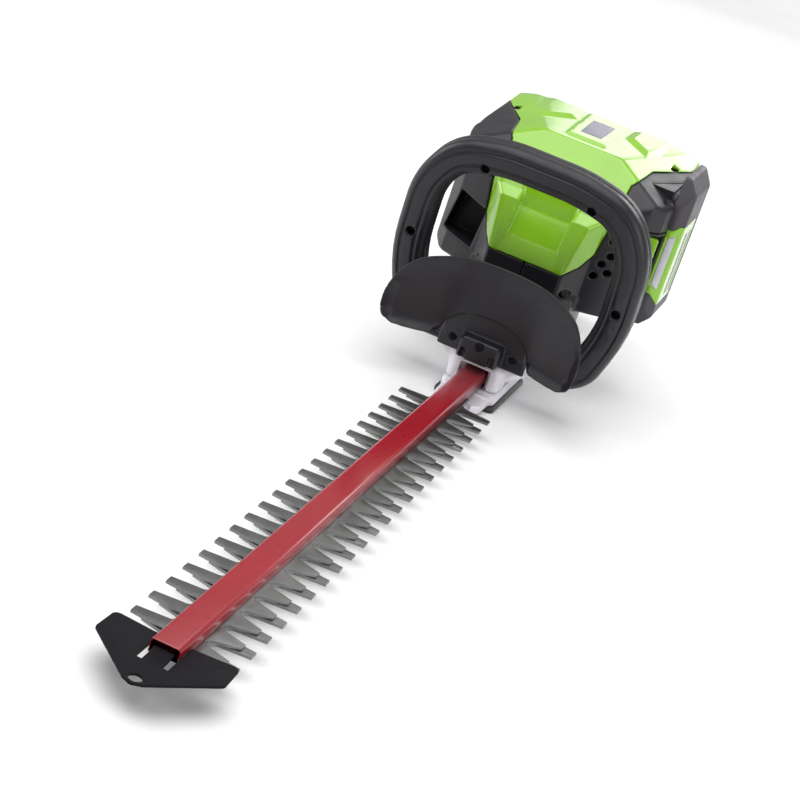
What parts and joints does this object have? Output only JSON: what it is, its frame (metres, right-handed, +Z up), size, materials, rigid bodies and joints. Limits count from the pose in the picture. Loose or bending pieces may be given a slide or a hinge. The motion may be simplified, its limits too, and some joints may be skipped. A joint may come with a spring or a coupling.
{
  "type": "cordless hedge trimmer",
  "caption": "Battery hedge trimmer: double-sided reciprocating blades on a red channel bar, loop front handle, hand guard, trigger rear handle and slide-out battery.",
  "frame": {"origin": "on the ground under the crank axis, on the bottom face of the base plate", "axes": "+X forward to the blade tip, +Y to the operator's left, +Z up"},
  "size_m": [1.2084, 0.2617, 0.2657],
  "materials": {
    "red_paint": "satin",
    "blade_steel": "ground",
    "black_steel": "matte",
    "zinc_steel": "satin",
    "cast_aluminium": "cast",
    "base_black": "satin",
    "black_plastic": "moulded",
    "battery_plastic": "moulded",
    "green_plastic": "gloss",
    "label_grey": "satin",
    "label_dark": "satin",
    "rubber": "matte",
    "copper": "enamelled",
    "cell_wrap": "shrink wrap",
    "circuit_board": "solder mask"
  },
  "bodies": {
    "machine": {"backing_bar": "zinc_steel", "bar_channel": "red_paint", "base_plate": "base_black", "battery_tray": "black_plastic", "controller_board": "circuit_board", "controller_heatsink": "cast_aluminium", "crank_bearings": "zinc_steel", "front_handle_front": "black_plastic", "front_handle_rear": "black_plastic", "front_handle_screws": "black_steel", "gearbox_lower": "cast_aluminium", "gearbox_screws": "zinc_steel", "gearbox_upper": "cast_aluminium", "guard_screws": "black_steel", "guide_nuts": "zinc_steel", "guide_screws": "zinc_steel", "guide_sleeves": "zinc_steel", "hand_guard": "black_plastic", "housing_left": "black_plastic", "housing_right": "black_plastic", "housing_screws": "zinc_steel", "label_plate": "label_dark", "motor_bearings": "zinc_steel", "motor_can": "zinc_steel", "motor_end_cap": "cast_aluminium", "motor_stator": "zinc_steel", "motor_windings": "copper", "pivot_pins": "zinc_steel", "power_switch": "black_plastic", "rear_handle_left": "black_plastic", "rear_handle_right": "black_plastic", "rear_handle_screws": "zinc_steel", "rubber_grip": "rubber", "shoulder_cover_left": "black_plastic", "shoulder_cover_right": "black_plastic", "terminal_block": "black_plastic", "tip_plate": "black_steel", "tip_rivets": "zinc_steel", "top_cover": "green_plastic", "trigger_spring": "zinc_steel"},
    "crank": {"crank_gear": "zinc_steel", "crank_shaft": "zinc_steel"},
    "rotor": {"motor_rotor": "zinc_steel", "motor_shaft": "zinc_steel", "motor_pinion": "zinc_steel", "cooling_fan": "black_plastic"},
    "blade_upper": {"upper_blade": "blade_steel"},
    "blade_lower": {"lower_blade": "blade_steel"},
    "trigger_lever": {"trigger": "black_plastic"},
    "safety_lever": {"lock_off_lever": "black_plastic"},
    "battery": {"battery_case": "battery_plastic", "battery_end_cap": "battery_plastic", "battery_frame": "green_plastic", "battery_label": "label_grey", "battery_gauge": "battery_plastic", "battery_cells": "cell_wrap", "battery_board": "circuit_board"},
    "gauge_key": {"gauge_button": "label_grey"},
    "release": {"release_button": "green_plastic", "battery_latch": "black_plastic"}
  },
  "joints": [
    {"name": "crank_turn", "type": "hinge", "parent": "machine", "child": "crank", "pos_m": [0, 0, 0.043], "axis": [0, 0, 1], "range_deg": [-90, 90]},
    {"name": "rotor_spin", "type": "hinge", "parent": "machine", "child": "rotor", "pos_m": [-0.045, 0, 0.08], "axis": [0, 0, 1], "range_deg": [-450, 450]},
    {"name": "upper_blade_slide", "type": "slide", "parent": "machine", "child": "blade_upper", "axis": [1, 0, 0], "range_m": [-0.0075, 0.0075]},
    {"name": "lower_blade_slide", "type": "slide", "parent": "machine", "child": "blade_lower", "axis": [1, 0, 0], "range_m": [-0.0075, 0.0075]},
    {"name": "trigger_pull", "type": "hinge", "parent": "machine", "child": "trigger_lever", "pos_m": [-0.244, 0, 0.166], "axis": [0, 1, 0], "range_deg": [0, 10], "stiffness_Nm_per_rad": 0.4, "springref_deg": -5.73, "deforming": ["trigger_spring"]},
    {"name": "lock_off_press", "type": "hinge", "parent": "machine", "child": "safety_lever", "pos_m": [-0.234, 0, 0.203], "axis": [0, -1, 0], "range_deg": [0, 10], "stiffness_Nm_per_rad": 0.2, "springref_deg": -8.59},
    {"name": "battery_slide", "type": "slide", "parent": "machine", "child": "battery", "axis": [0, 1, 0], "range_m": [0, 0.13]},
    {"name": "gauge_press", "type": "slide", "parent": "battery", "child": "gauge_key", "axis": [0, -1, 0], "range_m": [0, 0.0005], "stiffness_N_per_m": 600, "springref_m": -0.0005},
    {"name": "release_press", "type": "hinge", "parent": "machine", "child": "release", "pos_m": [-0.086, 0.084, 0.176], "axis": [0, 0, 1], "range_deg": [0, 8], "stiffness_Nm_per_rad": 0.5, "springref_deg": -5.73}
  ],
  "couplings": [
    {"joint": "rotor_spin", "follows": "crank_turn", "ratio": -5},
    {"joint": "upper_blade_slide", "follows": "crank_turn", "m_per_rad": 0.004774},
    {"joint": "lower_blade_slide", "follows": "crank_turn", "m_per_rad": -0.004774}
  ]
}
